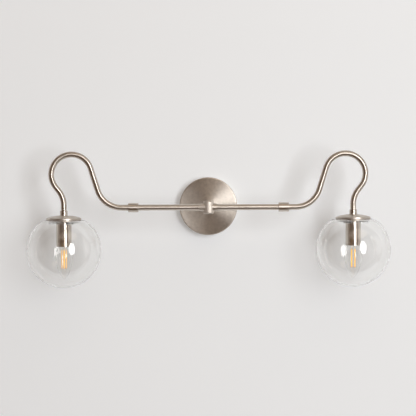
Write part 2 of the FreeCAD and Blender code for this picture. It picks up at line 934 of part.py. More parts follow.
def cap_underside(radius):
    """Height of the cap's inner dome at a distance from the axis."""
    away = radius - D.cap_flat_dia / 2
    return cap_dome_z + root(square(cap_dome - D.cap_wall) - square(away))


def make_cap(name):
    """Shallow spun dome with an upright rim."""
    bore = D.nipple_dia / 2 + D.screw_fit
    rim = D.cap_dia / 2
    inner = rim - D.cap_wall
    flat = D.cap_flat_dia / 2
    return turned(
        name,
        [
            (bore, cap_top),
            (flat, cap_top),
            (rim, cap_bottom + D.cap_rim),
            (rim, cap_bottom),
            (inner, cap_bottom),
            (inner, cap_underside(inner)),
            (flat, cap_inside),
            (bore, cap_inside),
        ],
        {1: -cap_dome, 5: cap_dome - D.cap_wall},
    )


def make_gasket(name):
    """Soft ring between the cap's underside and the globe's lip."""
    inner = D.gasket_hole / 2
    outer = D.gasket_dia / 2
    return turned(
        name,
        [
            (inner, cap_bottom),
            (outer, cap_bottom),
            (outer, cap_underside(outer) - D.thread_fit),
            (inner, cap_underside(inner) - D.thread_fit),
        ],
    )


def make_spring(label):
    """Ring with three hairpin legs whose tips bear on the mouth of the globe."""
    thick = D.spring_thick
    top = spring_top
    low = top - D.spring_drop
    leg = D.spring_leg_radius
    tip = D.globe_mouth / 2 - D.seat_gap * 2
    tip_top = low + D.spring_tip_rise
    hub = D.spring_ring_dia / 2 - D.spring_ring_lap
    corners = [
        (hub, top),
        (leg + thick, top),
        (leg + thick, low + thick),
        (tip - thick, low + thick),
        (tip - thick, tip_top),
        (tip, tip_top),
        (tip, low),
        (leg, low),
        (leg, top - thick),
        (hub, top - thick),
    ]
    inside = D.spring_bend
    outside = inside + thick
    radii = {1: outside, 2: inside, 3: inside, 6: outside, 7: outside, 8: inside}
    points, arcs = rounded(corners, radii)
    body = new_body(label)
    ring_bore = D.nipple_dia / 2 + D.screw_fit
    revolve(
        body,
        tube_corners(ring_bore, D.spring_ring_dia / 2, top - thick, top),
        name="Ring",
    )
    sketch = new_sketch(body, "XZ_Plane", "LegOutline")
    draw_outline(sketch, points, arcs)
    leg_pad = pad(body, sketch, D.spring_leg_width, "Leg", both_ways=True)
    pattern = body.newObject("PartDesign::PolarPattern", "Legs")
    pattern.Originals = [leg_pad]
    pattern.Axis = (sketch, ["V_Axis"])
    pattern.Angle = 360
    pattern.Occurrences = 3
    body.Tip = pattern
    return finish(body, label)


def make_cup(name):
    """Socket cup: thin round-shouldered sleeve, open downwards."""
    bore = D.nipple_dia / 2 + D.screw_fit
    outer = D.cup_dia / 2
    inner = outer - D.cup_wall
    corners = [
        (bore, cup_top),
        (outer, cup_top),
        (outer, cup_bottom),
        (inner, cup_bottom),
        (inner, cup_inside),
        (bore, cup_inside),
    ]
    points, arcs = rounded(corners, {1: D.cup_edge, 4: D.cup_edge - D.cup_wall})
    return turned(name, points, arcs)


def make_socket(side):
    """Lamp holder body with its threaded shell and centre contact."""
    outer = D.cup_dia / 2 - D.cup_wall - D.seat_gap
    thread = D.nipple_dia / 2 + D.thread_fit
    bore = D.socket_bore / 2
    rivet = D.socket_rivet_dia / 2
    chamber = D.socket_chamber_dia / 2
    yield turned(
        f"{side}_socket_body",
        [
            (thread, socket_top),
            (outer, socket_top),
            (outer, socket_bottom),
            (bore, socket_bottom),
            (bore, shell_top),
            (chamber, shell_top),
            (chamber, chamber_top),
            (rivet + D.thread_fit, chamber_top),
            (rivet + D.thread_fit, rivet_top),
            (thread, rivet_top),
        ],
    )
    shell_outer = bore - D.thread_fit
    shell_inner = shell_outer - D.shell_wall
    yield turned(
        f"{side}_socket_shell",
        tube_corners(shell_inner, shell_outer, shell_top - D.shell_length, shell_top),
    )
    head_low = chamber_top - D.contact_head_thick
    yield turned(
        f"{side}_socket_contact",
        [
            (0, rivet_top),
            (rivet, rivet_top),
            (rivet, chamber_top),
            (D.contact_head_dia / 2, chamber_top),
            (D.contact_head_dia / 2, head_low),
            (D.contact_pin_dia / 2, head_low),
            (D.contact_pin_dia / 2, shell_top),
            (0, shell_top),
        ],
    )


def make_lamp_holder(side):
    """All pieces on the lamp's axis that swing with the arm, in the axis' own frame."""
    yield make_ferrule(f"{side}_arm_ferrule")
    nipple_top = arm_end_z - D.seat_gap
    yield turned(
        f"{side}_lamp_nipple",
        tube_corners(
            D.nipple_bore / 2, D.nipple_dia / 2, nipple_top - D.lamp_nipple_length, nipple_top
        ),
    )
    yield make_cap(f"{side}_cap")
    yield turned(
        f"{side}_spacer",
        tube_corners(D.nipple_dia / 2 + D.screw_fit, D.spacer_dia / 2, spring_top, cap_inside),
    )
    yield make_spring(f"{side}_globe_spring")
    yield make_gasket(f"{side}_gasket")
    yield make_cup(f"{side}_socket_cup")
    yield make_nut(f"{side}_cup_nut", cup_inside - D.nut_thick, UPRIGHT)
    yield from make_socket(side)


# ---------------------------------------------------------------- globe


def make_globe(label):
    """Blown globe: a sphere of even wall that rolls over a round shoulder to a flat mouth."""
    outer = D.globe_dia / 2
    inner = outer - D.globe_wall
    shoulder = D.globe_shoulder
    mouth = D.globe_mouth / 2
    edge = D.globe_mouth_edge
    lip_low = globe_top - D.globe_wall
    shoulder_rise = globe_shoulder_rise - shoulder
    shoulder_x = root(square(outer - shoulder) - square(shoulder_rise))
    flare = outer / (outer - shoulder)
    inner_flare = inner / (outer - shoulder)
    body = new_body(label)
    revolve(
        body,
        [
            (size(0), globe_centre - outer),
            (shoulder_x * flare, globe_centre + shoulder_rise * flare),
            (shoulder_x, globe_top),
            (mouth + edge, globe_top),
            (mouth, globe_top - edge),
            (mouth, lip_low + edge),
            (mouth + edge, lip_low),
            (shoulder_x, lip_low),
            (shoulder_x * inner_flare, globe_centre + shoulder_rise * inner_flare),
            (size(0), globe_centre - inner),
        ],
        {0: outer, 1: shoulder, 7: D.globe_wall - shoulder, 8: -inner},
    )
    return finish(body, label)


# ---------------------------------------------------------------- bulb


def make_bulb(side):
    """Clear candle bulb with four upright filaments, in the lamp axis' own frame."""
    contact_low = bulb_top - D.bulb_contact_rise
    insulator_low = contact_low - D.insulator_height
    base_low = insulator_low - D.base_length
    base_radius = D.base_dia / 2
    base_hole = D.insulator_dia / 2
    wall = D.base_wall
    yield turned(
        f"{side}_bulb_tip",
        [
            (0, bulb_top),
            (D.bulb_contact_dia / 2 - D.bulb_contact_edge, bulb_top),
            (D.bulb_contact_dia / 2, contact_low),
            (0, contact_low),
        ],
    )
    yield turned(
        f"{side}_bulb_insulator",
        [
            (0, contact_low),
            (D.insulator_tip_dia / 2, contact_low),
            (base_hole, insulator_low),
            (0, insulator_low),
        ],
    )
    yield turned(
        f"{side}_bulb_base",
        [
            (base_hole - wall, insulator_low),
            (base_hole, insulator_low),
            (base_radius, insulator_low - D.base_slope),
            (base_radius, base_low),
            (base_radius - wall, base_low),
            (base_radius - wall, insulator_low - D.base_slope - wall / 2),
            (base_hole - wall, insulator_low - wall),
        ],
    )
    yield from make_bulb_glass(side, base_low)


def make_bulb_glass(side, base_low):
    """Candle envelope, its inner stem, the support wires and the filaments."""
    glass = D.bulb_glass
    neck = D.bulb_neck_dia / 2
    neck_top = base_low + D.bulb_neck_in_base
    side_radius = D.bulb_side_radius
    tip_radius = D.bulb_tip_radius
    side_x = D.bulb_dia / 2 - side_radius
    shoulder_x = D.bulb_dia / 2 - D.bulb_shoulder_radius
    reach_down = root(square(side_radius - tip_radius) - square(side_x))
    belly = bulb_bottom + tip_radius + reach_down
    lean_x = -side_x / (side_radius - tip_radius)
    lean_z = reach_down / (side_radius - tip_radius)
    slope = sine(D.bulb_taper) / cosine(D.bulb_taper)

    def half_outline(inset):
        """Corners from the neck down to the tip, set in from the outer surface."""
        shoulder = D.bulb_shoulder_radius - inset
        flank = side_radius - inset
        flare_x = shoulder_x + shoulder * cosine(D.bulb_taper)
        flare_z = belly + shoulder * sine(D.bulb_taper)
        throat = neck - inset
        return [
            (throat, neck_top),
            (throat, flare_z + (flare_x - throat) / slope),
            (flare_x, flare_z),
            (D.bulb_dia / 2 - inset, belly),
            (side_x + flank * lean_x, belly - flank * lean_z),
            (size(0), bulb_bottom + inset),
        ]

    outside = half_outline(size(0))
    inside = half_outline(glass)
    arcs = {
        2: -D.bulb_shoulder_radius,
        3: -side_radius,
        4: -tip_radius,
        6: tip_radius - glass,
        7: side_radius - glass,
        8: D.bulb_shoulder_radius - glass,
    }
    yield turned(f"{side}_bulb_glass", outside + inside[::-1], arcs)

    foot_radius = neck - glass - D.thread_fit
    foot_low = neck_top - D.stem_foot_height
    stem_low = foot_low - D.stem_glass_length
    yield turned(
        f"{side}_bulb_stem",
        [
            (0, neck_top),
            (foot_radius, neck_top),
            (foot_radius, foot_low),
            (D.stem_glass_dia / 2, foot_low - foot_radius + D.stem_glass_dia / 2),
            (D.stem_glass_dia / 2, stem_low + D.stem_glass_dia / 4),
            (D.stem_glass_dia / 4, stem_low),
            (0, stem_low),
        ],
    )

    wire = D.wire_dia / 2
    circle = D.filament_circle / 2
    filament = D.filament_dia / 2
    filament_top = stem_low - D.wire_dia
    filament_low = filament_top - D.filament_length
    count = int(D.filament_count.value)
    spokes = []
    rods = []
    for index in range(count):
        angle = 360.0 * index / count
        away = Rotation(Vector(0, 0, 1), angle).multiply(TO_RIGHT)
        name = f"{side}_spoke_{index}"
        spokes.append(cylinder(name, wire, circle + filament, up=stem_low - wire, turn=away))
        across = circle * math.cos(math.radians(angle))
        depth = circle * math.sin(math.radians(angle))
        name = f"{side}_rod_{index}"
        rods.append(cylinder(name, filament, D.filament_length, filament_low, across, depth))
    cross = fuse(f"{side}_wire_cross", spokes)
    ring = document.addObject("Part::Torus", f"{side}_wire_ring")
    ring.setExpression("Radius1", circle.text)
    ring.setExpression("Radius2", wire.text)
    place(ring, up=filament_low - wire)
    yield gather(f"{side}_bulb_wires", [cross, ring])
    yield gather(f"{side}_bulb_filaments", rods)


# ---------------------------------------------------------------- build

make_canopy()
make_strap()
make_earth_screw()
make_lock_screws()
make_stem()
make_hub()
make_hub_cap("hub_cap_top", 1)
make_hub_cap("hub_cap_bottom", -1)
for side, way in (("left", -1), ("right", 1)):
    turn = UPRIGHT if way > 0 else HALF_TURN
    make_side_tube(side, turn)
    make_coupling(side, turn)
    make_arm(side, turn)
    for piece in make_lamp_holder(side):
        place(piece, lamp_x * way, -D.reach, 0, turn)
    place(make_globe(f"{side}_globe"), lamp_x * way, -D.reach, 0, turn)
    bulb_turn = D.left_bulb_turn if way < 0 else D.right_bulb_turn
    bulb_rotation = Rotation(Vector(0, 0, 1), bulb_turn.value)
    for piece in make_bulb(side):
        place(piece, lamp_x * way, -D.reach, 0, bulb_rotation)
make_coupling_screws()
document.recompute()

# ---------------------------------------------------------------- checks and writing

faults = []
for item in document.Objects:
    if any(word in ("Invalid", "Error") for word in item.State):
        faults.append(f"{item.Label}: {item.State}")
for piece in pieces:
    if piece.Shape.isNull() or not piece.Shape.isValid():
        faults.append(f"{piece.Label}: shape not valid")
if faults:
    raise RuntimeError("; ".join(faults))

os.makedirs("parts", exist_ok=True)
for piece in pieces:
    piece.Shape.exportStep(f"parts/{piece.Label}.step")
    box = piece.Shape.BoundBox
    print(
        f"{piece.Label:22s} solids {len(piece.Shape.Solids)} volume {piece.Shape.Volume:10.1f}"
        f"  x {box.XMin:7.1f} {box.XMax:7.1f}  y {box.YMin:7.1f} {box.YMax:7.1f}"
        f"  z {box.ZMin:7.1f} {box.ZMax:7.1f}"
    )
print(f"{len(pieces)} pieces, lamp axis at {lamp_x.value:.2f}, globe centre at {globe_centre.value:.2f}")
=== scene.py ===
"""Double arm wall sconce in brushed nickel with clear globes, dressed over its CAD frame.

Metres, +Z up, the wall is the plane Y = 0 and the light stands out along -Y.
"""
import bpy
import json
import math
from mathutils import Matrix, Vector


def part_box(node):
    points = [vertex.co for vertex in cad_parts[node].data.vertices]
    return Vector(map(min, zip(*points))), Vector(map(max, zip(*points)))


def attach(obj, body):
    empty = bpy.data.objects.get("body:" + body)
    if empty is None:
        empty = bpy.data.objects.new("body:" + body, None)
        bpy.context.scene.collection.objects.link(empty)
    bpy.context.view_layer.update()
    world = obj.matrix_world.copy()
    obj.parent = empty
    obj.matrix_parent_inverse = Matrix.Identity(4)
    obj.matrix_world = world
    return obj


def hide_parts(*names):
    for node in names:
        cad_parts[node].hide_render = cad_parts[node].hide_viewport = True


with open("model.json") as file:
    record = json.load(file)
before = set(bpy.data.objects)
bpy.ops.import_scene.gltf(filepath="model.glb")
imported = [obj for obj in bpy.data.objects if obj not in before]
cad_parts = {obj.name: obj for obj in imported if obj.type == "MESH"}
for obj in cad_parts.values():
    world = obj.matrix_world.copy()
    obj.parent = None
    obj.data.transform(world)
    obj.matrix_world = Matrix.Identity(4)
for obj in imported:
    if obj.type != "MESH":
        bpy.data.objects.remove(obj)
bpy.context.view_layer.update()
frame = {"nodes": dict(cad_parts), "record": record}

MM = 0.001
SIDES = (("left", -1), ("right", 1))

# ---------------------------------------------------------------- sizes shared with the frame

reach = -sum(corner[1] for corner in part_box("right_socket_cup")) / 2
lamp_x = sum(corner[0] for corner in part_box("right_socket_cup")) / 2
TUBE_RADIUS = 6.0 * MM
TUBE_BORE = 4.75 * MM

# ---------------------------------------------------------------- mesh helpers

SHARP_ANGLE = math.radians(35.0)


def arc_points(centre, radius, start, end, step):
    """Points of an arc between two angles, with a step, all in degrees."""
    count = max(2, int(abs(end - start) / step) + 1)
    points = []
    for index in range(count + 1):
        angle = math.radians(start + (end - start) * index / count)
        points.append((centre[0] + radius * math.cos(angle), centre[1] + radius * math.sin(angle)))
    return points


def make_object(name, vertices, faces):
    """Smooth-shaded object from vertices and faces, with its real edges kept sharp."""
    mesh = bpy.data.meshes.new(name)
    mesh.from_pydata(vertices, [], faces)
    mesh.validate()
    mesh.shade_smooth()
    mesh.set_sharp_from_angle(angle=SHARP_ANGLE)
    piece = bpy.data.objects.new(name, mesh)
    bpy.context.scene.collection.objects.link(piece)
    return piece


def lathe(name, outline, centre, segments):
    """Turn (radius, height) points about an upright axis, from one pole to the other."""
    vertices = []
    rings = []
    for radius, height in outline:
        first = len(vertices)
        count = segments if radius > 0 else 1
        rings.append(list(range(first, first + count)))
        for index in range(count):
            angle = 2 * math.pi * index / segments
            vertices.append((radius * math.cos(angle), radius * math.sin(angle), height))
    faces = []
    for low, high in zip(rings, rings[1:]):
        for index in range(segments):
            after = (index + 1) % segments
            if len(low) == 1:
                faces.append((low[0], high[after], high[index]))
            elif len(high) == 1:
                faces.append((low[index], low[after], high[0]))
            else:
                faces.append((low[index], low[after], high[after], high[index]))
    return make_object(name, [tuple(Vector(vertex) + Vector(centre)) for vertex in vertices], faces)


def dress(piece, body, *nodes, slot, material):
    """Ride on a body, stand for its nodes and take a finish."""
    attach(piece, body)
    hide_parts(*nodes)
    piece.data.materials.append(material)


# ---------------------------------------------------------------- materials


class Nodes:
    """A node tree with short calls to add and link nodes."""

    def __init__(self, tree):
        self.tree = tree

    def add(self, kind, **settings):
        node = self.tree.nodes.new(kind)
        for key, value in settings.items():
            setattr(node, key, value)
        return node

    def link(self, source, target):
        self.tree.links.new(source, target)

    def compute(self, operation, first, second):
        """Output of an operation on two values, each a socket or a plain number."""
        node = self.add("ShaderNodeMath", operation=operation)
        for value, socket in zip((first, second), node.inputs):
            if isinstance(value, (int, float)):
                socket.default_value = value
            else:
                self.link(value, socket)
        return node.outputs["Value"]

    def span(self, value, low, high, start=0.0, end=1.0):
        """Output that goes from low to high while a value goes from start to end."""
        node = self.add("ShaderNodeMapRange")
        for name, number in (("From Min", start), ("From Max", end), ("To Min", low), ("To Max", high)):
            node.inputs[name].default_value = number
        self.link(value, node.inputs["Value"])
        return node.outputs["Result"]

    def tone(self, share, low, high):
        """Colour between low, a colour or a socket, and high, a colour."""
        node = self.add("ShaderNodeMix", data_type="RGBA")
        sockets = {socket.name: socket for socket in node.inputs if socket.type == "RGBA"}
        if isinstance(low, tuple):
            sockets["A"].default_value = (*low, 1)
        else:
            self.link(low, sockets["A"])
        sockets["B"].default_value = (*high, 1)
        self.link(share, node.inputs["Factor"])
        return next(socket for socket in node.outputs if socket.type == "RGBA")

    def bump(self, height, strength, distance):
        """Normal roughened by a height."""
        node = self.add("ShaderNodeBump")
        node.inputs["Strength"].default_value = strength
        node.inputs["Distance"].default_value = distance
        self.link(height, node.inputs["Height"])
        return node.outputs["Normal"]


class Finish(Nodes):
    """A new material round its Principled shader."""

    def __init__(self, name):
        self.material = bpy.data.materials.new(name)
        self.material.use_nodes = True
        super().__init__(self.material.node_tree)
        self.shader = self.tree.nodes["Principled BSDF"]
        self.output = self.tree.nodes["Material Output"]

    def set(self, **values):
        for key, value in values.items():
            self.shader.inputs[key.replace("_", " ")].default_value = value

    def drive(self, name, source):
        self.link(source, self.shader.inputs[name])

    def show_through(self, share, colour=(1.0, 1.0, 1.0)):
        """Put the shader and a clear one on the surface, mixed by a share."""
        clear = self.add("ShaderNodeBsdfTransparent")
        clear.inputs["Color"].default_value = (*colour, 1)
        mix = self.add("ShaderNodeMixShader")
        self.link(share, mix.inputs["Fac"])
        self.link(self.shader.outputs["BSDF"], mix.inputs[1])
        self.link(clear.outputs["BSDF"], mix.inputs[2])
        self.link(mix.outputs["Shader"], self.output.inputs["Surface"])


GRAIN_HEIGHT = 0.02 * MM
DRIFT = 0.07
CLOUDS = 60.0
# strength of the painted glow: emission that makes the filaments look brighter, though the bulbs light
# nothing
PAINTED_GLOW = 0.9
NICKEL = (0.62, 0.57, 0.515)
BRUSH_LINES = 4200.0
BRUSH_DETAIL = 5.0
BRUSH_SPREAD = 0.06
BRUSH_DEPTH = 0.2
GLASS_WAVES = 18.0
GLASS_UNEVEN = 0.015
GLASS_HEIGHT = 0.5 * MM


def add_grain(nodes, vector, scale, detail, dimensions="3D"):
    """Noise texture read at a vector, or at a single value for rings and lines."""
    noise = nodes.add("ShaderNodeTexNoise", noise_dimensions=dimensions)
    noise.inputs["Scale"].default_value = scale
    noise.inputs["Detail"].default_value = detail
    nodes.link(vector, noise.inputs["W" if dimensions == "1D" else "Vector"])
    return noise.outputs["Fac"]


def finish_metal(nodes, grain, cloud, colour, roughness, spread, depth, drift=DRIFT):
    """Let grain drive roughness and bump, and cloud drift the colour."""
    darker = tuple(part * (1.0 - drift) for part in colour)
    lighter = tuple(min(1.0, part * (1.0 + drift)) for part in colour)
    nodes.drive("Roughness", nodes.span(grain, roughness - spread, roughness + spread))
    nodes.drive("Base Color", nodes.tone(cloud, darker, lighter))
    nodes.drive("Normal", nodes.bump(grain, depth, GRAIN_HEIGHT))


def grain_material(name, colour, roughness, stretch, depth=0.15, spread=0.08, metallic=1.0, painted_glow=None):
    """Metal, paint or ceramic with fine grain, stretched by the given scales, with a painted glow of the
    given colour where one is given.
    """
    nodes = Finish(name)
    nodes.set(Metallic=metallic)
    if painted_glow:
        nodes.set(Emission_Color=(*painted_glow, 1), Emission_Strength=PAINTED_GLOW)
    place = nodes.add("ShaderNodeTexCoord").outputs["Object"]
    mapping = nodes.add("ShaderNodeMapping")
    mapping.inputs["Scale"].default_value = stretch
    nodes.link(place, mapping.inputs["Vector"])
    grain = add_grain(nodes, mapping.outputs["Vector"], scale=1.0, detail=4.0)
    cloud = add_grain(nodes, place, scale=45.0, detail=3.0)
    finish_metal(nodes, grain, cloud, colour, roughness, spread, depth)
    return nodes.material


def brushed_nickel(
    name, axis, roughness, anisotropic, flat=False, rotation=0.25, clouds=CLOUDS, drift=DRIFT
):
    """Nickel brushed round an axis: fine rings, and glints drawn out as the rotation says."""
    nodes = Finish(name)
    nodes.set(Metallic=1.0, Anisotropic=anisotropic, Anisotropic_Rotation=rotation)
    place = nodes.add("ShaderNodeTexCoord").outputs["Object"]
    split = nodes.add("ShaderNodeSeparateXYZ")
    nodes.link(place, split.inputs["Vector"])
    spot = split.outputs[axis]
    if flat:
        across = [letter for letter in "XYZ" if letter != axis]
        join = nodes.add("ShaderNodeCombineXYZ")
        nodes.link(split.outputs[across[0]], join.inputs["X"])
        nodes.link(split.outputs[across[1]], join.inputs["Y"])
        length = nodes.add("ShaderNodeVectorMath", operation="LENGTH")
        nodes.link(join.outputs["Vector"], length.inputs[0])
        spot = length.outputs["Value"]
    rings = add_grain(nodes, spot, BRUSH_LINES, BRUSH_DETAIL, "1D")
    cloud = add_grain(nodes, place, clouds, detail=4.0)
    finish_metal(nodes, rings, cloud, NICKEL, roughness, BRUSH_SPREAD, BRUSH_DEPTH, drift)
    tangent = nodes.add("ShaderNodeTangent", direction_type="RADIAL", axis=axis)
    nodes.drive("Tangent", tangent.outputs["Tangent"])
    return nodes.material


def brushed_tube(name, roughness, anisotropic):
    """Nickel tube brushed round its bent length, which runs along the first map axis."""
    nodes = Finish(name)
    nodes.set(Metallic=1.0, Anisotropic=anisotropic)
    coordinates = nodes.add("ShaderNodeTexCoord")
    split = nodes.add("ShaderNodeSeparateXYZ")
    nodes.link(coordinates.outputs["UV"], split.inputs["Vector"])
    rings = add_grain(nodes, split.outputs["X"], BRUSH_LINES, BRUSH_DETAIL, "1D")
    cloud = add_grain(nodes, coordinates.outputs["Object"], CLOUDS, detail=4.0)
    finish_metal(nodes, rings, cloud, NICKEL, roughness, BRUSH_SPREAD, BRUSH_DEPTH)
    tangent = nodes.add("ShaderNodeTangent", direction_type="UV_MAP", uv_map="length")
    nodes.drive("Tangent", tangent.outputs["Tangent"])
    return nodes.material


def clear_glass(name, colour, index, shade, coat=0.0):
    """Clear glass, faintly uneven, that lets lamp light straight through to what is behind it."""
    nodes = Finish(name)
    nodes.set(Roughness=0.0, IOR=index, Base_Color=(*colour, 1), Transmission_Weight=1.0)
    nodes.set(Coat_Weight=coat, Coat_Roughness=0.0)
    place = nodes.add("ShaderNodeTexCoord").outputs["Object"]
    wave = add_grain(nodes, place, GLASS_WAVES, detail=1.0)
    nodes.drive("Normal", nodes.bump(wave, GLASS_UNEVEN, GLASS_HEIGHT))
    path = nodes.add("ShaderNodeLightPath").outputs
    unseen = nodes.compute("MAXIMUM", path["Is Shadow Ray"], path["Is Diffuse Ray"])
    nodes.show_through(unseen, (shade, shade, shade))
    return nodes.material


plate_finish = brushed_nickel(
    "spun_nickel_plate", axis="Y", roughness=0.42, anisotropic=0.80, flat=True, clouds=170.0, drift=0.25
)
cap_finish = brushed_nickel("spun_nickel_cap", axis="Z", roughness=0.46, anisotropic=0.4, flat=True)
level_finish = brushed_nickel("brushed_nickel_level", axis="X", roughness=0.35, anisotropic=0.92)
hub_finish = brushed_nickel("brushed_nickel_hub", axis="Z", roughness=0.50, anisotropic=0.65, rotation=0.0)
upright_finish = brushed_nickel("brushed_nickel_upright", axis="Z", roughness=0.26, anisotropic=0.6)
arm_finish = brushed_tube("brushed_nickel_bent", roughness=0.36, anisotropic=0.88)
globe_glass = clear_glass("globe_clear_glass", colour=(0.985, 0.985, 0.98), index=1.47, shade=0.93)
bulb_glass = clear_glass("bulb_thin_glass", colour=(0.99, 0.99, 0.985), index=1.06, shade=0.97, coat=0.7)

FINISHES = {
    "brushed_nickel": grain_material(
        "brushed_nickel_satin", NICKEL, roughness=0.46, stretch=(900, 900, 900), depth=0.10, spread=0.05
    ),
    "zinc_steel": grain_material(
        "zinc_steel_bright", (0.62, 0.63, 0.64), roughness=0.38, stretch=(300, 900, 900), depth=0.2
    ),
    "spring_steel": grain_material(
        "spring_steel_dark", (0.42, 0.42, 0.43), roughness=0.32, stretch=(900, 900, 200), depth=0.1
    ),
    "green_paint": grain_material(
        "green_screw_paint", (0.05, 0.32, 0.12), roughness=0.40, stretch=(400, 400, 400), depth=0.2,
        metallic=0.0
    ),
    "silicone": grain_material(
        "silicone_soft", (0.75, 0.75, 0.73), roughness=0.50, stretch=(200, 200, 200), depth=0.2, metallic=0.0
    ),
    "lamp_ceramic": grain_material(
        "lamp_ceramic_white", (0.86, 0.84, 0.78), roughness=0.45, stretch=(150, 150, 150), depth=0.2,
        spread=0.1, metallic=0.0
    ),
    "brass_contact": grain_material(
        "brass_bright", (0.72, 0.53, 0.24), roughness=0.28, stretch=(700, 700, 700), depth=0.1
    ),
    "clear_glass": globe_glass,
    "bulb_clear": bulb_glass,
    "bulb_metal": grain_material(
        "bulb_base_nickel", (0.70, 0.69, 0.67), roughness=0.25, stretch=(600, 600, 900), depth=0.1
    ),
    "solder": grain_material(
        "solder_dull", (0.52, 0.52, 0.53), roughness=0.45, stretch=(500, 500, 500), depth=0.3
    ),
    "black_glass": grain_material(
        "black_glass_bead", (0.03, 0.03, 0.035), roughness=0.15, stretch=(300, 300, 300), depth=0.1,
        spread=0.05, metallic=0.0
    ),
    # the filaments carry a painted glow: they shine by emission to look brighter, not as a lamp
    "amber_filament": grain_material(
        "amber_filament_painted_glow", (1.0, 0.58, 0.06), roughness=0.55, stretch=(900, 900, 900), depth=0.3,
        spread=0.1, metallic=0.0, painted_glow=(1.0, 0.50, 0.05)
    ),
}

for part in frame["record"]["subparts"]:
    node = frame["nodes"][part["node"]]
    for holder in node.material_slots:
        holder.material = FINISHES[part["material_slot"]]
BRUSHED = {"canopy": plate_finish}
for name in ("hub_body", "hub_cap_top", "hub_cap_bottom"):
    BRUSHED[name] = hub_finish
for side, way in SIDES:
    BRUSHED[f"{side}_tube"] = level_finish
    BRUSHED[f"{side}_coupling"] = level_finish
    BRUSHED[f"{side}_cap"] = cap_finish
    BRUSHED[f"{side}_arm_ferrule"] = upright_finish
    BRUSHED[f"{side}_socket_cup"] = upright_finish
for name, material in BRUSHED.items():
    for holder in frame["nodes"][name].material_slots:
        holder.material = material

# ---------------------------------------------------------------- globes

globe_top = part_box("right_globe")[1][2]
GLOBE_RADIUS = 75.0 * MM
GLOBE_WALL = 2.5 * MM
GLOBE_MOUTH = 30.0 * MM
GLOBE_RIM_WIDTH = 12.8 * MM
GLOBE_SHOULDER = 25.0 * MM
GLOBE_EDGE = 0.9 * MM
# a narrow ring at each side of the flat rim keeps its smooth shading flat
GUARD = 0.1 * MM


def globe_outline():
    """Sphere of even wall that rolls over a round shoulder to a flat rim round its mouth."""
    rise = math.sqrt(GLOBE_RADIUS ** 2 - (GLOBE_MOUTH + GLOBE_RIM_WIDTH) ** 2)
    centre = globe_top - rise
    shoulder_z = globe_top - GLOBE_SHOULDER
    shoulder_x = math.sqrt((GLOBE_RADIUS - GLOBE_SHOULDER) ** 2 - (shoulder_z - centre) ** 2)
    meet = math.degrees(math.atan2(shoulder_z - centre, shoulder_x))
    rim_low = globe_top - GLOBE_WALL
    rim_x = GLOBE_MOUTH + GLOBE_EDGE
    points = arc_points((0, centre), GLOBE_RADIUS, -90, meet, step=2.0)[:-1]
    points += arc_points((shoulder_x, shoulder_z), GLOBE_SHOULDER, meet, 90, step=2.0)
    points += [(shoulder_x - GUARD, globe_top), (rim_x + GUARD, globe_top)]
    points += arc_points((rim_x, globe_top - GLOBE_EDGE), GLOBE_EDGE, 90, 180, step=18.0)
    points += arc_points((rim_x, rim_low + GLOBE_EDGE), GLOBE_EDGE, 180, 270, step=18.0)
    points += [(rim_x + GUARD, rim_low), (shoulder_x - GUARD, rim_low)]
    points += arc_points((shoulder_x, shoulder_z), GLOBE_SHOULDER - GLOBE_WALL, 90, meet, step=2.0)[:-1]
    points += arc_points((0, centre), GLOBE_RADIUS - GLOBE_WALL, meet, -90, step=2.0)
    points[0] = (0.0, points[0][1])
    points[-1] = (0.0, points[-1][1])
    return points


for side, way in SIDES:
    axis = (lamp_x * way, -reach, 0)
    globe = lathe(f"{side}_blown_globe", globe_outline(), axis, segments=192)
    dress(globe, f"{side}_globe_body", f"{side}_globe", slot="clear_glass", material=globe_glass)

# ---------------------------------------------------------------- bulbs

bulb_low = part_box("right_bulb_glass")[0][2]
bulb_neck_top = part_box("right_bulb_glass")[1][2]
BULB_RADIUS = 17.5 * MM
BULB_WALL = 0.8 * MM
BULB_NECK = 6.5 * MM
BULB_TAPER = 30.0
BULB_SHOULDER = 30.0 * MM
BULB_SIDE = 74.0 * MM
BULB_TIP = 3.0 * MM
NECK_ABOVE = 0.6 * MM
NECK_BELOW = 0.4 * MM
NECK_STEP = 0.12 * MM


def bulb_half(inset):
    """Neck, shoulder, long side and rounded tip, set in from the outer surface."""
    side_x = BULB_RADIUS - BULB_SIDE
    shoulder_x = BULB_RADIUS - BULB_SHOULDER
    down = math.sqrt((BULB_SIDE - BULB_TIP) ** 2 - side_x ** 2)
    belly = bulb_low + BULB_TIP + down
    lean = math.degrees(math.atan2(-down, -side_x))
    shoulder = BULB_SHOULDER - inset
    flare = math.radians(BULB_TAPER)
    flare_x = shoulder_x + shoulder * math.cos(flare)
    flare_z = belly + shoulder * math.sin(flare)
    neck = BULB_NECK - inset
    neck_z = flare_z + (flare_x - neck) / math.tan(flare)
    points = [(neck, bulb_neck_top), (neck, neck_z + NECK_ABOVE), (neck + NECK_STEP, neck_z - NECK_BELOW)]
    points += arc_points((shoulder_x, belly), shoulder, BULB_TAPER, 0, step=3.0)
    points += arc_points((side_x, belly), BULB_SIDE - inset, 0, lean, step=2.0)[1:]
    points += arc_points((0, bulb_low + BULB_TIP), BULB_TIP - inset, lean, -90, step=9.0)[1:]
    points[-1] = (0.0, points[-1][1])
    return points


for side, way in SIDES:
    axis = (lamp_x * way, -reach, 0)
    outline = bulb_half(0)[::-1] + bulb_half(BULB_WALL)
    bulb = lathe(f"{side}_candle_envelope", outline, axis, segments=96)
    dress(bulb, f"{side}_bulb_body", f"{side}_bulb_glass", slot="bulb_clear", material=bulb_glass)

# ---------------------------------------------------------------- gooseneck arms


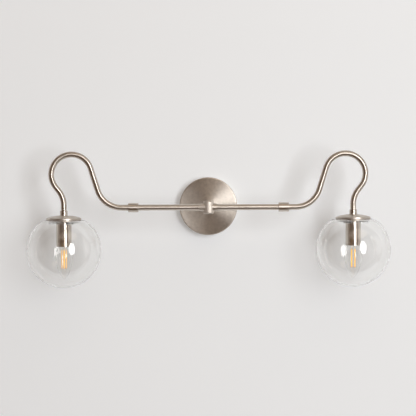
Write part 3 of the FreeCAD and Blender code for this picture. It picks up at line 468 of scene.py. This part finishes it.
def map_length(tube, path, segments, girth):
    """Map a swept tube's skins by the length along its path and the way round it."""
    lengths = [0.0]
    for before, here in zip(path, path[1:]):
        lengths.append(lengths[-1] + (here - before).length)
    layer = tube.data.uv_layers.new(name="length")
    loops = tube.data.loops
    skin = len(path) * segments
    for polygon in tube.data.polygons:
        turns = [loops[corner].vertex_index % segments for corner in polygon.loop_indices]
        wraps = max(turns) - min(turns) > 1
        for corner, turn in zip(polygon.loop_indices, turns):
            along = loops[corner].vertex_index % skin // segments
            share = (segments if wraps and turn == 0 else turn) / segments
            layer.data[corner].uv = (lengths[along], share * girth)


def sweep_tube(name, path, outer, inner, segments=48):
    """Hollow tube along a planar path of points in the XZ plane at the arms' depth."""
    vertices = []
    faces = []
    count = len(path)
    for radius in (outer, inner):
        for index, spot in enumerate(path):
            along = (path[min(index + 1, count - 1)] - path[max(index - 1, 0)]).normalized()
            across = Vector((-along.z, 0, along.x))
            for step in range(segments):
                angle = 2 * math.pi * step / segments
                offset = across * math.cos(angle) + Vector((0, 1, 0)) * math.sin(angle)
                vertices.append(tuple(spot + offset * radius))
    skin = count * segments
    for index in range(count - 1):
        for step in range(segments):
            after = (step + 1) % segments
            low = index * segments
            high = low + segments
            faces.append((low + step, low + after, high + after, high + step))
            faces.append((skin + low + after, skin + low + step, skin + high + step, skin + high + after))
    for ring, flip in ((0, False), ((count - 1) * segments, True)):
        for step in range(segments):
            after = (step + 1) % segments
            face = (ring + step, skin + ring + step, skin + ring + after, ring + after)
            faces.append(face[::-1] if flip else face)
    tube = make_object(name, vertices, faces)
    map_length(tube, path, segments, 2 * math.pi * outer)
    return tube


RISE_RADIUS = 50.0 * MM
RISE_TURN = 72.5
RISE_RUN = 46.0 * MM
BOW_RADIUS = 40.4 * MM
BOW_TURN = 200.5
DROP_RUN = 10.0 * MM
DROP_RADIUS = 47.0 * MM
RUN_OUT = 13.5 * MM


def toward(heading):
    """Unit step in the arms' plane; heading in degrees, 0 is outward and 90 is up."""
    angle = math.radians(heading)
    return Vector((math.cos(angle), 0, math.sin(angle)))


def turn_arc(spot, heading, radius, turn, step=2.5):
    """Points of a tangent arc from spot; heading and turn in degrees, a left turn is positive."""
    side = math.copysign(90.0, turn)
    middle = spot + toward(heading + side) * radius
    count = max(2, int(abs(turn) / step))
    turned = [heading - side + turn * index / count for index in range(1, count + 1)]
    return [middle + toward(angle) * radius for angle in turned], heading + turn


def arm_path(side, way):
    """Centreline of a gooseneck arm from its coupling to the ferrule."""
    low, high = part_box(f"{side}_arm")
    inner_end = low[0] if way > 0 else -high[0]
    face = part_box("right_coupling")[1][0]
    points = [Vector((inner_end, 0, 0)), Vector((face + RUN_OUT, 0, 0))]
    arc, heading = turn_arc(points[-1], 0.0, RISE_RADIUS, RISE_TURN)
    points += arc
    points.append(points[-1] + toward(heading) * RISE_RUN)
    arc, heading = turn_arc(points[-1], heading, BOW_RADIUS, -BOW_TURN)
    points += arc
    points.append(points[-1] + toward(heading) * DROP_RUN)
    arc, heading = turn_arc(points[-1], heading, DROP_RADIUS, -90.0 - heading)
    points += arc
    points.append(Vector((points[-1].x, 0, low[2])))
    return [Vector((spot.x * way, -reach, spot.z)) for spot in points]


for side, way in SIDES:
    arm = sweep_tube(f"{side}_bent_tube", arm_path(side, way), TUBE_RADIUS, TUBE_BORE)
    dress(arm, f"{side}_arm_body", f"{side}_arm", slot="brushed_nickel", material=arm_finish)

# ---------------------------------------------------------------- wall and floor

PAINT_ROUGHNESS = 0.9
PAINT_MOTTLE = 0.985


def plain_surface(name, colour, lift):
    """Matt paint with faint mottling, paler by lift to the eye, and clear to a camera behind it."""
    nodes = Finish(name)
    nodes.set(Roughness=PAINT_ROUGHNESS)
    place = nodes.add("ShaderNodeTexCoord").outputs["Object"]
    mottling = add_grain(nodes, place, scale=3.0, detail=2.0)
    darker = tuple(part * PAINT_MOTTLE for part in colour)
    nodes.drive("Base Color", nodes.tone(mottling, darker, colour))
    path = nodes.add("ShaderNodeLightPath").outputs
    hidden = nodes.compute("MULTIPLY", path["Is Diffuse Ray"], lift)
    nodes.drive("Emission Strength", nodes.compute("SUBTRACT", lift, hidden))
    face = nodes.add("ShaderNodeNewGeometry").outputs
    nodes.show_through(nodes.compute("MULTIPLY", path["Is Camera Ray"], face["Backfacing"]))
    return nodes.material


def stage_sheet(name, vertices, faces, material):
    """Flat sheet of the stage, which isn't part of the object."""
    mesh = bpy.data.meshes.new(name)
    mesh.from_pydata(vertices, [], faces)
    sheet = bpy.data.objects.new(name, mesh)
    bpy.context.scene.collection.objects.link(sheet)
    sheet.data.materials.append(material)


WALL_HALF = 4.0
WALL_Y = 0.4 * MM
FLOOR_Z = -2.0
FLOOR_DEPTH = 0.8
BOX_RADIUS = 0.052
BOX_STEPS = 64


def pierced_wall():
    """Corners and faces of the wall, with the round hole of the wiring box behind the backplate."""
    vertices = []
    for index in range(BOX_STEPS):
        angle = 2 * math.pi * (index + 0.5) / BOX_STEPS
        across, up = math.cos(angle), math.sin(angle)
        vertices.append((BOX_RADIUS * across, WALL_Y, BOX_RADIUS * up))
        edge = WALL_HALF / max(abs(across), abs(up))
        vertices.append((edge * across, WALL_Y, max(edge * up, FLOOR_Z)))
    faces = []
    for index in range(BOX_STEPS):
        near = 2 * index
        after = 2 * ((index + 1) % BOX_STEPS)
        faces.append((near, near + 1, after + 1, after))
    return vertices, faces


wall_paint = plain_surface("wall_paint", colour=(0.69, 0.725, 0.755), lift=0.265)
stage_sheet("wall", *pierced_wall(), wall_paint)
floor_paint = plain_surface("floor_paint", colour=(0.72, 0.73, 0.74), lift=0.2)
floor_corners = [
    (-WALL_HALF, -FLOOR_DEPTH, FLOOR_Z), (WALL_HALF, -FLOOR_DEPTH, FLOOR_Z),
    (WALL_HALF, WALL_Y, FLOOR_Z), (-WALL_HALF, WALL_Y, FLOOR_Z),
]
stage_sheet("floor", floor_corners, [(0, 1, 2, 3)], floor_paint)

# ---------------------------------------------------------------- lights, world and camera


def direction(azimuth, elevation):
    """Unit step by angles in radians; azimuth 0 is out from the wall, 90 degrees is to the right."""
    level = math.cos(elevation)
    return Vector((math.sin(azimuth) * level, -math.cos(azimuth) * level, math.sin(elevation)))


def area_light(name, azimuth, elevation, distance, width, height, power, colour=(1.0, 1.0, 1.0)):
    """Soft box aimed at the arms' middle from a direction in degrees."""
    way = direction(math.radians(azimuth), math.radians(elevation))
    data = bpy.data.lights.new(name, "AREA")
    data.shape = "ELLIPSE"
    data.size = width
    data.size_y = height
    data.energy = power
    data.color = colour
    lamp = bpy.data.objects.new(name, data)
    bpy.context.scene.collection.objects.link(lamp)
    lamp.location = Vector((0, -reach, 0)) + way * distance
    lamp.rotation_euler = way.to_track_quat("Z", "Y").to_euler()


area_light("key_box", azimuth=27, elevation=7, distance=5.0, width=1.7, height=3.3, power=154)
area_light(
    "top_box", azimuth=20, elevation=50, distance=4.0, width=4.0, height=2.2, power=25,
    colour=(1.0, 0.86, 0.70)
)
area_light("left_box", azimuth=-74, elevation=8, distance=4.0, width=1.8, height=3.0, power=4)
area_light("right_box", azimuth=78, elevation=8, distance=4.0, width=1.8, height=3.0, power=9)
area_light("back_box", azimuth=180, elevation=0, distance=2.5, width=1.5, height=1.5, power=12)

WORLD_LOW = (0.12, 0.075, 0.045)
WORLD_HIGH = (0.14, 0.09, 0.06)
WORLD_BLEND = 0.6
PALE = (0.80, 0.80, 0.80)
FIRST_REFLECTION = 0.5


def studio_world():
    """Dim warm room, seen as a pale backdrop by the camera and through clear glass."""
    world = bpy.data.worlds.new("studio")
    world.use_nodes = True
    sky = Nodes(world.node_tree)
    place = sky.add("ShaderNodeTexCoord").outputs["Generated"]
    split = sky.add("ShaderNodeSeparateXYZ")
    sky.link(place, split.inputs["Vector"])
    height = sky.span(split.outputs["Z"], 0.0, 1.0, -WORLD_BLEND, WORLD_BLEND)
    room = sky.tone(height, WORLD_LOW, WORLD_HIGH)
    path = sky.add("ShaderNodeLightPath").outputs
    unreflected = sky.compute("LESS_THAN", path["Glossy Depth"], FIRST_REFLECTION)
    through_glass = sky.compute("MULTIPLY", path["Is Transmission Ray"], unreflected)
    seen = sky.compute("MAXIMUM", path["Is Camera Ray"], through_glass)
    sky.link(sky.tone(seen, room, PALE), world.node_tree.nodes["Background"].inputs["Color"])
    return world


bpy.context.scene.world = studio_world()

IMAGE_PIXELS = 416
PIXEL = 2.006 * MM
VIEW_DISTANCE = 2.50
VIEW_ELEVATION = math.radians(1.5)
VIEW_AZIMUTH = math.radians(-0.3)
VIEW_ROLL = math.radians(0.255)
AIM_X = -1.1 * MM
AIM_Z = -1.5 * MM

camera_data = bpy.data.cameras.new("camera")
camera_data.angle = 2 * math.atan(IMAGE_PIXELS * PIXEL / 2 / VIEW_DISTANCE)
camera = bpy.data.objects.new("camera", camera_data)
bpy.context.scene.collection.objects.link(camera)
aim = Vector((AIM_X, -reach, AIM_Z))
back = direction(VIEW_AZIMUTH, VIEW_ELEVATION)
tilt = Matrix.Rotation(-VIEW_ROLL, 4, back)
camera.location = aim + back * VIEW_DISTANCE
camera.rotation_euler = (tilt @ back.to_track_quat("Z", "Y").to_matrix().to_4x4()).to_euler()
bpy.context.scene.camera = camera
bpy.context.scene.view_settings.view_transform = "Standard"
